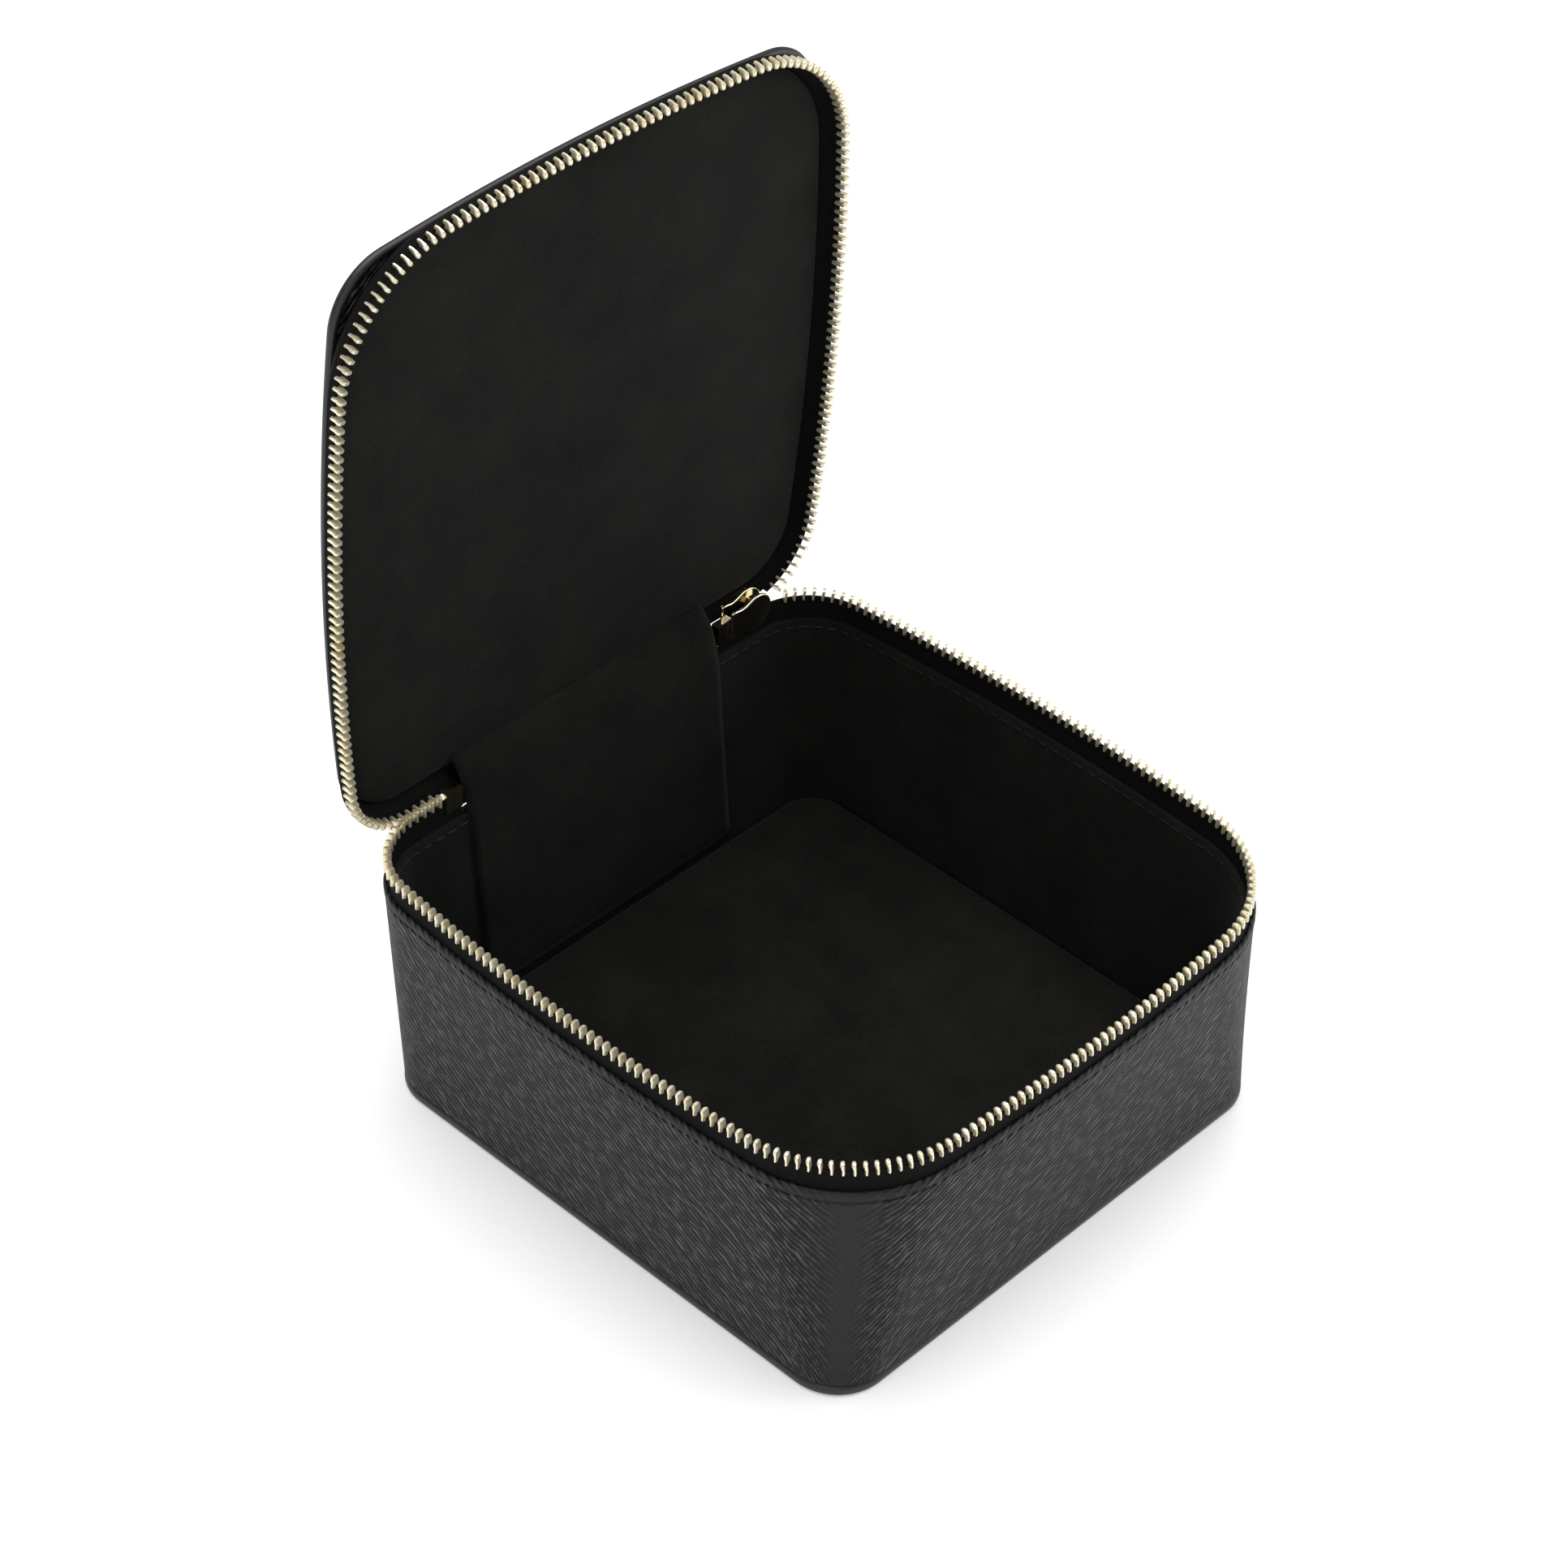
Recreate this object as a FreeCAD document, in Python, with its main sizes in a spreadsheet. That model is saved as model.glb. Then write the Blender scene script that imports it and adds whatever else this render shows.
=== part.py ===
import FreeCAD, Part
import math
import os
import Sketcher
from FreeCAD import Placement, Rotation, Vector

# Zip-around jewellery case, standing open. Millimetres, +Z up, +X along the hinge,
# hinge at the back (+Y), origin at the middle of the underside.

doc = FreeCAD.newDocument("jewellery_case")
sheet = doc.addObject("Spreadsheet::Sheet", "Sizes")

driving_sizes = [
    # seam line of the wall where the zip runs, measured across the middle of the sides
    ("rim_width", 150.4),
    ("rim_depth", 153.2),
    ("rim_corner_front", 32.5),
    ("rim_corner_rear", 18.0),
    ("rim_bow", 590.0),
    # seam line of the wall at the foot, drawn in from the rim on each side
    ("foot_inset_side", 5.6),
    ("foot_inset_end", 6.2),
    ("foot_corner", 11.4),
    ("foot_bow", 20000.0),
    ("corner_chords", 8),
    # heights
    ("hinge_height", 65.4),
    ("zip_stand", 6.5),
    ("wall_top", "=hinge_height - zip_stand"),
    ("lining_drop", 0.5),
    # layers of the wall and the bottom
    ("layer_gap", 0.05),
    ("leather_thick", 0.9),
    ("core_thick", 0.7),
    ("lining_thick", 0.8),
    ("bottom_thick", 3.0),
    ("bottom_edge", 1.2),
    ("bottom_board_thick", 1.5),
    ("floor_pad_thick", 3.4),
    ("floor_pad_edge", 1.4),
    ("floor_pad_clear", 0.4),
    ("board_end_clear", 4.0),
    # zip
    ("tape_tuck", 6.0),
    ("tooth_pitch", 2.33),
    ("tooth_thick", 0.95),
    ("tooth_width", 1.8),
    ("tooth_head_width", 1.2),
    ("tooth_leg", 3.3),
    ("tooth_shoulder", 0.3),
    ("tooth_reach", 0.9),
    ("tooth_set_back", 0.15),
    ("turn_depth", 9.0),
    ("turn_edge", 0.1),
    # where the rows, stops, hinge and slider begin, in from the widest point of the side
    ("row_start_inset", 28.3),
    ("row_end_inset", 14.8),
    ("stop_inset", 29.7),
    ("stop_length", 5.0),
    ("stop_width", 2.3),
    ("stop_rise", 1.2),
    ("stop_edge", 0.35),
    # lid
    ("open_angle", 88.0),
    ("lid_rise", 6.2),
    ("lid_thick", 2.4),
    ("lid_flare", 2.6),
    ("lid_corner_front", 20.0),
    ("lid_corner_rear", 16.0),
    ("lid_edge", 0.9),
    ("lid_board_thick", 1.0),
    ("lid_lining_thick", 1.0),
    ("lid_lining_edge", 0.6),
    ("lid_lining_clear", 0.4),
    # hinge cloth and leather between the two ends of the zip
    ("hinge_inset", 36.2),
    ("hinge_leather_thick", 1.0),
    ("hinge_leather_sag", 2.0),
    ("hinge_fold_thick", 0.8),
    ("hinge_fold_rise", 0.9),
    ("hinge_end_clear", 0.2),
    # slider and its pull
    ("slider_inset", 31.0),
    ("slider_length", 13.0),
    ("slider_plate_thick", 0.9),
    ("slider_channel", 2.5),
    ("slider_mouth_half", 4.7),
    ("slider_tail_half", 3.5),
    ("slider_round", 0.9),
    ("shield_waist", 0.38),
    ("shield_flare", 0.3),
    ("shield_shoulder", 0.66),
    ("shield_nose", 0.88),
    ("post_place", 0.77),
    ("post_length", 2.4),
    ("post_height", 1.6),
    ("bail_span", 6.2),
    ("bail_foot", 1.0),
    ("bail_rise", 2.8),
    ("bail_bar", 1.0),
    ("bail_height", 1.4),
    ("bail_round", 0.8),
    ("pull_thick", 1.2),
    ("pull_clear", 0.3),
    ("pull_bar_half", 1.6),
    ("pull_bar_height", 1.1),
    ("pull_side", 0.7),
    ("pull_slot", 4.2),
    ("pull_half_width", 3.4),
    ("pull_length", 24.0),
    ("pull_shoulder", 3.6),
    ("pull_round", 0.6),
]

for row, (alias, value) in enumerate(driving_sizes, start=1):
    sheet.set("A%d" % row, alias)
    sheet.set("B%d" % row, str(value))
    sheet.setAlias("B%d" % row, alias)
doc.recompute()


def size(alias):
    return float(sheet.get(alias))


hinge_z = size("hinge_height")
hinge_y = size("rim_depth") / 2
foot_level = size("bottom_thick") + size("layer_gap")
half_rim = size("rim_width") / 2
foot_half_width = half_rim - size("foot_inset_side")
foot_half_depth = hinge_y - size("foot_inset_end")
hinge_half = half_rim - size("hinge_inset")
stop_inner = half_rim - size("stop_inset") - size("stop_length")
row_end = half_rim - size("row_end_inset")
far = size("rim_width") + size("rim_depth")

# distances of the wall layers from the seam line, outwards positive
core_out = size("core_thick") / 2
leather_in = core_out + size("layer_gap")
leather_out = leather_in + size("leather_thick")
lining_out = -core_out - size("layer_gap")
lining_in = lining_out - size("lining_thick")
flap_out = lining_in - size("layer_gap")
flap_in = flap_out - size("hinge_fold_thick")

floor_level = foot_level + size("bottom_board_thick") + size("layer_gap")
floor_top = floor_level + size("floor_pad_thick")
lining_top = size("wall_top") - size("lining_drop")
tape_low = size("wall_top") - size("tape_tuck")
tape_high = hinge_z - size("tooth_leg")


def flip(point):
    return Vector(-point.x, point.y, point.z)


def rounded_edges(half_width, half_depth, front, rear, bow, level):
    """Eight edges of a case outline: straight back, three bowed sides, four round corners."""
    side_centre = Vector(half_width - bow, 0, level)
    front_centre = Vector(0, bow - half_depth, level)

    rear_y = half_depth - rear
    rear_x = side_centre.x + math.sqrt((bow - rear) ** 2 - rear_y ** 2)
    rear_centre = Vector(rear_x, rear_y, level)
    rear_side = (rear_centre - side_centre).normalize()
    back_end = rear_centre + Vector(0, rear, 0)
    rear_mid = rear_centre + (rear_side + Vector(0, 1, 0)).normalize() * rear

    link = front_centre - side_centre
    reach = math.sqrt((bow - front) ** 2 - (link.Length / 2) ** 2)
    across = Vector(-link.y, link.x, 0).normalize()
    if across.x < 0:
        across = across * -1
    corner_centre = side_centre + link * 0.5 + across * reach
    to_side = (corner_centre - side_centre).normalize()
    to_front = (corner_centre - front_centre).normalize()
    front_mid = corner_centre + (to_side + to_front).normalize() * front

    side_rear = rear_centre + rear_side * rear
    side_front = corner_centre + to_side * front
    front_end = corner_centre + to_front * front
    side_mid = Vector(half_width, 0, level)
    return [
        Part.LineSegment(back_end, flip(back_end)).toShape(),
        Part.Arc(flip(back_end), flip(rear_mid), flip(side_rear)).toShape(),
        Part.Arc(flip(side_rear), flip(side_mid), flip(side_front)).toShape(),
        Part.Arc(flip(side_front), flip(front_mid), flip(front_end)).toShape(),
        Part.Arc(flip(front_end), Vector(0, -half_depth, level), front_end).toShape(),
        Part.Arc(front_end, front_mid, side_front).toShape(),
        Part.Arc(side_front, side_mid, side_rear).toShape(),
        Part.Arc(side_rear, rear_mid, back_end).toShape(),
    ]


def chorded(edge, count):
    """The same run as straight chords of equal length."""
    points = edge.discretize(Number=count + 1)
    return [Part.LineSegment(a, b).toShape() for a, b in zip(points, points[1:])]


def chorded_corners(runs):
    edges = []
    for number, run in enumerate(runs):
        is_corner = number % 2 == 1
        edges += chorded(run, int(size("corner_chords"))) if is_corner else [run]
    return edges


def wall_edges(level, outset):
    """Outline of the soft wall at a height, set out from the seam line, its corners in fine chords."""
    share = (level - foot_level) / (hinge_z - foot_level)

    def mix(foot, rim):
        return foot + (rim - foot) * share

    bow = 1 / mix(1 / size("foot_bow"), 1 / size("rim_bow"))
    runs = rounded_edges(
        mix(foot_half_width, half_rim) + outset,
        mix(foot_half_depth, hinge_y) + outset,
        mix(size("foot_corner"), size("rim_corner_front")) + outset,
        mix(size("foot_corner"), size("rim_corner_rear")) + outset,
        bow + outset,
        level,
    )
    return chorded_corners(runs)


def wall_block(outset):
    wires = [Part.Wire(wall_edges(level, outset)) for level in (foot_level, hinge_z)]
    return Part.makeLoft(wires, True, True)


def span_box(x_low, x_high, y_low, y_high, z_low, z_high):
    corner = Vector(x_low, y_low, z_low)
    return Part.makeBox(x_high - x_low, y_high - y_low, z_high - z_low, corner)


def wall_layer(low, high, outer, inner):
    """One layer of the wall between two heights and two distances from the seam line."""
    slab = span_box(-far, far, -far, far, low, high)
    return wall_block(outer).common(slab).cut(wall_block(inner))


def rim_edges(level, outset, front=None, rear=None):
    """Rim outline at a height, set out from the seam line."""
    return rounded_edges(
        half_rim + outset,
        hinge_y + outset,
        (front or size("rim_corner_front") + outset),
        (rear or size("rim_corner_rear") + outset),
        size("rim_bow") + outset,
        level,
    )


def rim_prism(low, high, outset, front=None, rear=None):
    """Upright prism on the rim outline, set out from the seam line."""
    edges = rim_edges(low, outset, front, rear)
    return Part.Face(Part.Wire(edges)).extrude(Vector(0, 0, high - low))


def level_edges(shape, level):
    """Edges that lie wholly at one height."""
    return [e for e in shape.Edges
            if abs(e.BoundBox.ZMin - level) < 1e-4 and abs(e.BoundBox.ZMax - level) < 1e-4]


lid_swing = Placement(
    Vector(0, 0, 0), Rotation(Vector(1, 0, 0), -size("open_angle")), Vector(0, hinge_y, hinge_z))
sub_parts = []


def add_shape(label, shape, on_lid=False):
    """A sub-part with its own shape; lid pieces are drawn shut and swung open."""
    piece = doc.addObject("Part::Feature", label)
    piece.Label = label
    piece.Shape = shape
    piece.Placement = lid_swing if on_lid else Placement()
    sub_parts.append(piece)
    return piece


# Sketches and pads

def plane_of(body, role):
    return [f for f in body.Origin.OriginFeatures if f.Role == role][0]


def new_sketch(body, name, role):
    sketch = body.newObject("Sketcher::SketchObject", name)
    sketch.AttachmentSupport = [(plane_of(body, role), "")]
    sketch.MapMode = "FlatFace"
    return sketch


def closed_loop(sketch, points):
    """Straight lines through the points, joined end to end; returns the first line's number."""
    first = sketch.GeometryCount
    count = len(points)
    for index in range(count):
        here = points[index]
        there = points[(index + 1) % count]
        sketch.addGeometry(Part.LineSegment(Vector(*here, 0), Vector(*there, 0)), False)
    for index in range(count):
        following = first + (index + 1) % count
        sketch.addConstraint(Sketcher.Constraint("Coincident", first + index, 2, following, 1))
    return first


def pin_points(sketch, first, formulas):
    """Ties the corners of a loop to the sheet, each by its distance from the two sketch axes."""
    for index, (across, along) in enumerate(formulas):
        for kind, formula in (("DistanceX", across), ("DistanceY", along)):
            point = sketch.Geometry[first + index].StartPoint
            now = point.x if kind == "DistanceX" else point.y
            number = sketch.addConstraint(
                Sketcher.Constraint(kind, -1, 1, first + index, 1, now))
            sketch.setExpression("Constraints[%d]" % number, formula)


def bound(text):
    """A formula on the sheet's aliases, written with plain words."""
    words = sorted((alias for alias, _ in driving_sizes), key=len, reverse=True)
    out = ""
    place = 0
    while place < len(text):
        for word in words:
            end = place + len(word)
            open_left = place == 0 or not (text[place - 1].isalnum() or text[place - 1] == "_")
            open_right = end >= len(text) or not (text[end].isalnum() or text[end] == "_")
            if text.startswith(word, place) and open_left and open_right:
                out += "Sizes." + word
                place = end
                break
        else:
            out += text[place]
            place += 1
    return out


def evaluate(text):
    """The number that a formula on the sheet gives."""
    return float(sheet.evalExpression(bound(text).replace("Sizes.", "")))


def padded_body(label, role, loops, thick, middle=False):
    """Body with one sketch of straight-sided loops, padded to a thickness from the sheet."""
    body = doc.addObject("PartDesign::Body", label)
    body.Label = label
    sketch = new_sketch(body, label + "_outline", role)
    for loop in loops:
        first = closed_loop(sketch, [(evaluate(u), evaluate(v)) for u, v in loop])
        doc.recompute()
        pin_points(sketch, first, [(bound(u), bound(v)) for u, v in loop])
    pad = body.newObject("PartDesign::Pad", label + "_pad")
    pad.Profile = sketch
    pad.setExpression("Length", bound(thick))
    pad.Midplane = middle
    sketch.Visibility = False
    doc.recompute()
    return body, pad


def dress_edges(body, base, label, kind, chosen, property_name, value):
    names = ["Edge%d" % (i + 1) for i, e in enumerate(base.Shape.Edges) if chosen(e)]
    dressing = body.newObject("PartDesign::" + kind, label)
    dressing.Base = (base, names)
    dressing.setExpression(property_name, bound(value))
    doc.recompute()
    return dressing


def round_edges(body, base, label, chosen, radius):
    return dress_edges(body, base, label, "Fillet", chosen, "Radius", radius)


def bevel_edges(body, base, label, chosen, width):
    return dress_edges(body, base, label, "Chamfer", chosen, "Size", width)


def along(edge, axis):
    direction = edge.tangentAt(edge.FirstParameter)
    return abs(direction.dot(axis)) > 0.999


def plate(label, width, depth, thick, level, corner, edge=None):
    """Rectangular plate with round corners, lying at a height from the sheet."""
    half_w = "(%s) / 2" % width
    half_d = "(%s) / 2" % depth
    loop = [("-" + half_w, "-" + half_d), (half_w, "-" + half_d), (half_w, half_d), ("-" + half_w, half_d)]
    body, top = padded_body(label, "XY_Plane", [loop], thick)
    top = round_edges(body, top, label + "_corners", lambda e: along(e, Vector(0, 0, 1)), corner)
    if edge:
        flat = [e for e in top.Shape.Edges if e.BoundBox.ZLength < 1e-6]
        top = bevel_edges(body, top, label + "_rim", lambda e: any(e.isSame(f) for f in flat), edge)
    body.setExpression("Placement.Base.z", bound(level))
    sub_parts.append(body)
    return body


# Base: bottom, floor, wall

leather_set = "core_thick / 2 + layer_gap + leather_thick"
lining_set = "core_thick / 2 + layer_gap + lining_thick"
foot_width = "rim_width - 2 * foot_inset_side"
foot_depth = "rim_depth - 2 * foot_inset_end"

plate("bottom_cover", "%s + 2 * (%s)" % (foot_width, leather_set), "%s + 2 * (%s)" % (foot_depth, leather_set),
      "bottom_thick", "0 * bottom_thick", "foot_corner + %s" % leather_set, "bottom_edge")
inner_set = "%s + layer_gap + hinge_fold_thick + floor_pad_clear" % lining_set
plate("bottom_board", "%s - 2 * (%s)" % (foot_width, inner_set), "%s - 2 * (%s)" % (foot_depth, inner_set),
      "bottom_board_thick", "bottom_thick + layer_gap", "foot_corner - (%s)" % inner_set)
plate("floor_pad", "%s - 2 * (%s)" % (foot_width, inner_set), "%s - 2 * (%s)" % (foot_depth, inner_set),
      "floor_pad_thick", "bottom_thick + bottom_board_thick + 2 * layer_gap",
      "foot_corner - (%s)" % inner_set, "floor_pad_edge")

add_shape("wall_leather", wall_layer(foot_level, size("wall_top"), leather_out, leather_in))
add_shape("wall_lining", wall_layer(foot_level, lining_top, lining_out, lining_in))

# four stiff boards between leather and lining, one to a side, with soft corners between
core = wall_layer(foot_level, tape_low - size("layer_gap"), core_out, -core_out)
corner_start = foot_half_width - size("foot_corner") - size("board_end_clear")
for label, box in (
    ("wall_board_front", span_box(-corner_start, corner_start, -far, 0, 0, far)),
    ("wall_board_back", span_box(-corner_start, corner_start, 0, far, 0, far)),
    ("wall_board_left", span_box(-far, 0, -corner_start, corner_start, 0, far)),
    ("wall_board_right", span_box(0, far, -corner_start, corner_start, 0, far)),
):
    add_shape(label, core.common(box))

# suede flap of the hinge, lying down the inside of the back wall
flap = wall_layer(floor_top, lining_top, flap_out, flap_in)
add_shape("hinge_flap", flap.common(span_box(-hinge_half, hinge_half, 0, far, 0, far)))


# Zip tapes and teeth

def tape_gap(reach_left, reach_right):
    """Space between the two ends of a tape on the hinge side."""
    return span_box(-reach_left, reach_right, hinge_y - size("rim_corner_rear") / 2, far, 0, far)


base_tape = wall_layer(tape_low, tape_high, core_out, -core_out)
add_shape("base_zip_tape", base_tape.cut(tape_gap(stop_inner, stop_inner)))

lid_low = hinge_z + size("tooth_leg")
lid_under = hinge_z + size("lid_rise")


def flared_block(outset):
    """Solid inside the lid's tape, which flares from the lid's edge out to the teeth."""
    wires = []
    for level, inset in ((lid_low, 0), (lid_under, size("lid_flare"))):
        wires.append(Part.Wire(chorded_corners(rim_edges(level, outset - inset))))
    return Part.makeLoft(wires, True, True)


lid_tape = flared_block(core_out).cut(flared_block(-core_out))
add_shape("lid_zip_tape", lid_tape.cut(tape_gap(stop_inner, row_end - size("tooth_pitch") / 2)),
          on_lid=True)


def tooth(reach, side):
    """One tooth: a leg clamped over the tape and a narrower head, pointing to the other row."""
    half = size("tooth_width") / 2
    head = size("tooth_head_width") / 2
    left = -size("tooth_thick") / 2
    profile = [
        (-half, -size("tooth_leg")),
        (half, -size("tooth_leg")),
        (half, -size("tooth_shoulder")),
        (head, reach),
        (-head, reach),
        (-half, -size("tooth_shoulder")),
    ]
    points = [Vector(left, across, side * up) for across, up in profile]
    face = Part.Face(Part.makePolygon(points + points[:1]))
    return face.extrude(Vector(size("tooth_thick"), 0, 0))


def row_of_teeth(side, first):
    """Teeth evenly spaced along the seam line, from the end stop round to the slider's mouth."""
    edges = rim_edges(hinge_z, 0)
    full = tooth(size("tooth_reach"), side)
    short = tooth(-size("tooth_set_back"), side)
    back_half = edges[0].Length / 2
    last = sum(e.Length for e in edges) - row_end
    teeth = []
    distance = half_rim - size("row_start_inset") + first
    while distance <= last:
        remaining = distance + back_half
        for edge in edges:
            if remaining <= edge.Length:
                break
            remaining -= edge.Length
        parameter = edge.getParameterByLength(remaining)
        place = edge.valueAt(parameter)
        direction = edge.tangentAt(parameter)
        turn = math.degrees(math.atan2(direction.y, direction.x))
        from_hinge = hinge_y - place.y
        turning = size("turn_edge") < from_hinge < size("turn_depth")
        # teeth in the rear turns stop short of the hinge line so that the stiff rows can swing past
        piece = (short if turning else full).copy()
        piece.Placement = Placement(place, Rotation(Vector(0, 0, 1), turn))
        teeth.append(piece)
        distance += size("tooth_pitch")
    return Part.makeCompound(teeth)


add_shape("base_zip_teeth", row_of_teeth(1, 0.0))
add_shape("lid_zip_teeth", row_of_teeth(-1, size("tooth_pitch") / 2), on_lid=True)


# End stops: folded metal plates clamped over the tape where the rows end

def end_stop(label, direction):
    low = "hinge_height - tooth_leg - stop_rise"
    loop = [
        ("-stop_length / 2", "0 * stop_rise"),
        ("stop_length / 2", "0 * stop_rise"),
        ("stop_length / 2", "tooth_leg + 2 * stop_rise"),
        ("-stop_length / 2", "tooth_leg + 2 * stop_rise"),
    ]
    body, pad = padded_body(label, "XZ_Plane", [loop], "stop_width", middle=True)
    pad = round_edges(body, pad, label + "_edges", lambda e: along(e, Vector(0, 1, 0)), "stop_edge")
    # the slot leans with the tape that it is clamped over
    slot_half = "(core_thick / 2 + layer_gap)"
    lean = "foot_inset_end / (hinge_height - bottom_thick - layer_gap)"
    low_shift = "%s * (tooth_leg + 2 * stop_rise)" % lean
    high_shift = "%s * (tooth_leg - layer_gap)" % lean
    slot = new_sketch(body, label + "_slot", "YZ_Plane")
    slot_loop = [
        ("-%s - %s" % (slot_half, low_shift), "-stop_rise"),
        ("%s - %s" % (slot_half, low_shift), "-stop_rise"),
        ("%s - %s" % (slot_half, high_shift), "stop_rise + layer_gap"),
        ("-%s - %s" % (slot_half, high_shift), "stop_rise + layer_gap"),
    ]
    first = closed_loop(slot, [(evaluate(u), evaluate(v)) for u, v in slot_loop])
    doc.recompute()
    pin_points(slot, first, [(bound(u), bound(v)) for u, v in slot_loop])
    cut = body.newObject("PartDesign::Pocket", label + "_cut")
    cut.Profile = slot
    cut.Type = "ThroughAll"
    cut.Midplane = True
    slot.Visibility = False
    doc.recompute()
    centre = "%s(rim_width / 2 - stop_inset - stop_length / 2)" % ("-" if direction < 0 else "")
    body.setExpression("Placement.Base.x", bound(centre))
    body.setExpression("Placement.Base.y", bound("rim_depth / 2"))
    body.setExpression("Placement.Base.z", bound(low))
    sub_parts.append(body)


end_stop("zip_stop_left", -1)
end_stop("zip_stop_right", 1)


# Slider: two shield-shaped plates, the post between them, the bail and the pull

slider_start = "rim_width / 2 - slider_inset"
mid_slider = slider_start + " + slider_length / 2"


def place_on_chain(body, across, along_y):
    body.setExpression("Placement.Base.x", bound(across))
    body.setExpression("Placement.Base.y", bound("rim_depth / 2 + (%s)" % along_y))
    body.setExpression("Placement.Base.z", bound("hinge_height"))
    sub_parts.append(body)


shield_half = [
    ("0 * slider_length", "slider_tail_half"),
    ("shield_waist * slider_length", "slider_tail_half + shield_flare * (slider_mouth_half - slider_tail_half)"),
    ("shield_shoulder * slider_length", "slider_mouth_half"),
    ("shield_nose * slider_length", "slider_mouth_half"),
    ("slider_length", "slider_tail_half"),
]
shield = [(u, "-(%s)" % v) for u, v in shield_half] + shield_half[::-1]


def slider_plate(label, along_y):
    body, pad = padded_body(label, "XZ_Plane", [shield], "slider_plate_thick", middle=True)
    round_edges(body, pad, label + "_round", lambda e: along(e, Vector(0, 1, 0)), "slider_round")
    place_on_chain(body, slider_start, along_y)


plate_set = "(slider_channel + slider_plate_thick) / 2"
slider_plate("slider_plate_inner", "-" + plate_set)
slider_plate("slider_plate_outer", plate_set)

half_post = [("-post_length / 2", "0 * post_height"), ("0 * post_length", "-post_height / 2"),
             ("post_length / 2", "0 * post_height"), ("0 * post_length", "post_height / 2")]
post, _ = padded_body("slider_post", "XZ_Plane", [half_post], "slider_channel", middle=True)
place_on_chain(post, slider_start + " + post_place * slider_length", "0 * slider_channel")

arch = [
    ("-bail_span / 2", "0 * bail_rise"),
    ("-bail_span / 2 + bail_foot", "0 * bail_rise"),
    ("-bail_span / 2 + bail_foot", "bail_rise - bail_bar"),
    ("bail_span / 2 - bail_foot", "bail_rise - bail_bar"),
    ("bail_span / 2 - bail_foot", "0 * bail_rise"),
    ("bail_span / 2", "0 * bail_rise"),
    ("bail_span / 2", "bail_rise"),
    ("-bail_span / 2", "bail_rise"),
]
bail, bail_pad = padded_body("slider_bail", "XY_Plane", [arch], "bail_height", middle=True)
outer_y = size("bail_rise")
round_edges(bail, bail_pad, "slider_bail_round",
            lambda e: along(e, Vector(0, 0, 1)) and abs(e.BoundBox.YMax - outer_y) < 1e-4,
            "bail_round * bail_bar")
place_on_chain(bail, mid_slider, "slider_channel / 2 + slider_plate_thick")

outline_half = [
    ("pull_bar_half", "pull_bar_height / 2"),
    ("pull_bar_half", "-pull_slot - pull_bar_height / 2"),
    ("pull_half_width", "-pull_slot - pull_bar_height / 2 - pull_shoulder"),
    ("pull_half_width", "-pull_length"),
]
outline = [("-" + u, v) for u, v in outline_half[::-1]] + outline_half
outline = outline[::-1]
slot = [
    ("-(pull_bar_half - pull_side)", "-pull_bar_height / 2"),
    ("pull_bar_half - pull_side", "-pull_bar_height / 2"),
    ("pull_bar_half - pull_side", "-pull_slot - pull_bar_height / 2 + pull_side"),
    ("-(pull_bar_half - pull_side)", "-pull_slot - pull_bar_height / 2 + pull_side"),
]
pull, pull_pad = padded_body("zip_pull", "XZ_Plane", [outline, slot], "pull_thick", middle=True)
lower_end = -size("pull_length")
round_edges(pull, pull_pad, "zip_pull_end",
            lambda e: along(e, Vector(0, 1, 0)) and abs(e.BoundBox.ZMin - lower_end) < 1e-4,
            "pull_round * pull_half_width")
place_on_chain(pull, mid_slider,
               "slider_channel / 2 + slider_plate_thick + pull_clear + pull_thick / 2")


# Lid: leather cover, board and suede panel, drawn shut

cover = rim_prism(lid_under + size("layer_gap"), lid_under + size("layer_gap") + size("lid_thick"),
                  -size("lid_flare"), size("lid_corner_front"), size("lid_corner_rear"))
cover_low = lid_under + size("layer_gap")
cover_edges = level_edges(cover, cover_low) + level_edges(cover, cover_low + size("lid_thick"))
add_shape("lid_cover", cover.makeChamfer(size("lid_edge"), cover_edges), on_lid=True)

panel_inset = -core_out - size("lid_lining_clear") - size("lid_flare")
board_low = lid_under - size("lid_board_thick")
add_shape("lid_board", rim_prism(board_low, lid_under, panel_inset), on_lid=True)
panel_high = board_low - size("layer_gap")
panel_low = panel_high - size("lid_lining_thick")
panel = rim_prism(panel_low, panel_high, panel_inset)
add_shape("lid_lining", panel.makeChamfer(size("lid_lining_edge"), level_edges(panel, panel_low)), on_lid=True)


# Hinge: leather outside and suede inside, bent from the wall's top edge to the lid

def opened(y_from_hinge, rise):
    """Where a point of the shut lid, given from the hinge line, lies on the open lid."""
    return lid_swing.multVec(Vector(-hinge_half, hinge_y - y_from_hinge, hinge_z + rise))


def bent_strip(start, end, sag, thick):
    """Strip across the hinge whose section is an arc from one edge to the other."""
    chord = end - start
    outward = Vector(0, chord.z, -chord.y).normalize()
    middle = start + chord * 0.5 + outward * sag
    arc = Part.Arc(start, middle, end).toShape().Curve

    def offset(point, step):
        return arc.Center + (point - arc.Center) * ((arc.Radius + step) / arc.Radius)

    near = [offset(p, -thick / 2) for p in (start, middle, end)]
    away = [offset(p, thick / 2) for p in (start, middle, end)]
    wire = Part.Wire([
        Part.Arc(*near).toShape(),
        Part.LineSegment(near[2], away[2]).toShape(),
        Part.Arc(*away[::-1]).toShape(),
        Part.LineSegment(away[0], near[0]).toShape(),
    ])
    return Part.Face(wire).extrude(Vector(2 * hinge_half, 0, 0))


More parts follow.
